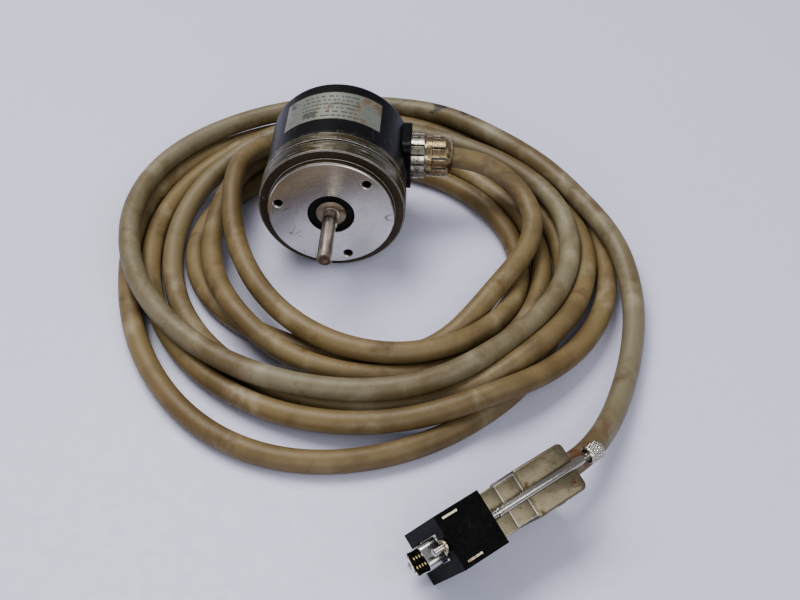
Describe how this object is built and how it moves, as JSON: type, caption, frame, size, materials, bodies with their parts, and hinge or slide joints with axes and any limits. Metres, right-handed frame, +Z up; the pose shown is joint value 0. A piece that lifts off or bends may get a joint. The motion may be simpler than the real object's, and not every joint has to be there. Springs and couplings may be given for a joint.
{
  "type": "rotary encoder",
  "caption": "Shaft encoder with a round servo flange, black cap, radial cable gland and a coiled lead ending in a D-shaped plug with thumbscrews.",
  "frame": {"origin": "on the shaft axis, in the plane of the mounting step behind the centring collar", "axes": "-Y along the shaft, out of the encoder; +X along the cable gland, out of the cap; +Z up"},
  "size_m": [0.2144, 0.2549, 0.058],
  "materials": {
    "flange_metal": "turned, dirty",
    "seal_rubber": "matt",
    "bearing_steel": "ground",
    "cage_brass": "satin",
    "shaft_steel": "dull, rusty",
    "fastener_steel": "zinc plated",
    "board_laminate": "solder mask",
    "component_black": "moulded",
    "connector_ivory": "moulded",
    "wire_pvc": "satin",
    "disc_glass": "clear with a fine track",
    "lens_clear": "clear",
    "cap_black": "fine moulded grain, satin",
    "plate_foil": "printed foil, stained",
    "gland_nickel": "nickel plate, worn to brass",
    "cord_jacket": "dirty beige jacket",
    "block_black": "moulded",
    "tab_metal": "tinned",
    "hood_metal": "tarnished nickel",
    "pin_gold": "gold flash"
  },
  "bodies": {
    "housing": {"flange": "flange_metal", "shaft_seal": "seal_rubber", "front_bearing_outer": "bearing_steel", "rear_bearing_outer": "bearing_steel", "bearing_spacer": "fastener_steel", "wave_washer": "fastener_steel", "bearing_circlip": "fastener_steel", "light_source": "component_black", "light_lens": "lens_clear", "scanning_mask": "disc_glass", "photo_array": "component_black", "sensor_board": "board_laminate", "board_spacers": "fastener_steel", "main_board": "board_laminate", "line_driver": "component_black", "capacitors": "component_black", "wire_header": "connector_ivory", "cap": "cap_black", "cap_seal": "seal_rubber", "cap_screws": "fastener_steel", "nameplate": "plate_foil", "lead_wires": "wire_pvc", "gland_body": "gland_nickel", "gland_ring": "gland_nickel", "gland_sleeve": "seal_rubber", "gland_nut": "gland_nickel", "cord_stub": "cord_jacket", "cord_lead": "cord_jacket", "cord_coil": "cord_jacket", "cord_tail": "cord_jacket", "front_block": "block_black", "latch_tabs": "tab_metal", "plug_shell": "tab_metal", "plug_insulator": "component_black", "plug_pins": "pin_gold", "hood_near": "hood_metal", "hood_far": "hood_metal", "hood_screws": "fastener_steel", "cord_clamp": "tab_metal", "clamp_screws": "fastener_steel"},
    "rotor": {"shaft": "shaft_steel", "shaft_washer": "shaft_steel", "front_bearing_inner": "bearing_steel", "rear_bearing_inner": "bearing_steel", "inner_spacer": "fastener_steel", "shaft_clip": "fastener_steel", "disc_hub": "flange_metal", "code_disc": "disc_glass", "disc_clamp": "fastener_steel", "hub_screw": "fastener_steel"},
    "front_cage": {"front_balls": "bearing_steel", "front_cage": "cage_brass"},
    "rear_cage": {"rear_balls": "bearing_steel", "rear_cage": "cage_brass"},
    "upper_clip": {"clip_upper": "tab_metal"},
    "upper_thumbscrew": {"thumbscrew_upper": "hood_metal"},
    "lower_clip": {"clip_lower": "tab_metal"},
    "lower_thumbscrew": {"thumbscrew_lower": "hood_metal"}
  },
  "joints": [
    {"name": "shaft_spin", "type": "hinge", "parent": "housing", "child": "rotor", "pos_m": [0, 0, 0], "axis": [0, -1, 0], "continuous": true},
    {"name": "front_cage_spin", "type": "hinge", "parent": "housing", "child": "front_cage", "pos_m": [0, 0.0035, 0], "axis": [0, -1, 0], "continuous": true},
    {"name": "rear_cage_spin", "type": "hinge", "parent": "housing", "child": "rear_cage", "pos_m": [0, 0.011, 0], "axis": [0, -1, 0], "continuous": true},
    {"name": "upper_screw_play", "type": "slide", "parent": "housing", "child": "upper_clip", "axis": [-0.7771, -0.6293, 0], "range_m": [0, 0.0025]},
    {"name": "upper_screw_turn", "type": "hinge", "parent": "upper_clip", "child": "upper_thumbscrew", "pos_m": [0.04869, -0.15256, 0.00004], "axis": [-0.7771, -0.6293, 0], "continuous": true},
    {"name": "lower_screw_play", "type": "slide", "parent": "housing", "child": "lower_clip", "axis": [-0.7771, -0.6293, 0], "range_m": [0, 0.0025]},
    {"name": "lower_screw_turn", "type": "hinge", "parent": "lower_clip", "child": "lower_thumbscrew", "pos_m": [0.04131, -0.14344, -0.02204], "axis": [-0.7771, -0.6293, 0], "continuous": true}
  ],
  "couplings": [
    {"joint": "front_cage_spin", "follows": "shaft_spin", "ratio": 0.36},
    {"joint": "rear_cage_spin", "follows": "shaft_spin", "ratio": 0.36}
  ]
}
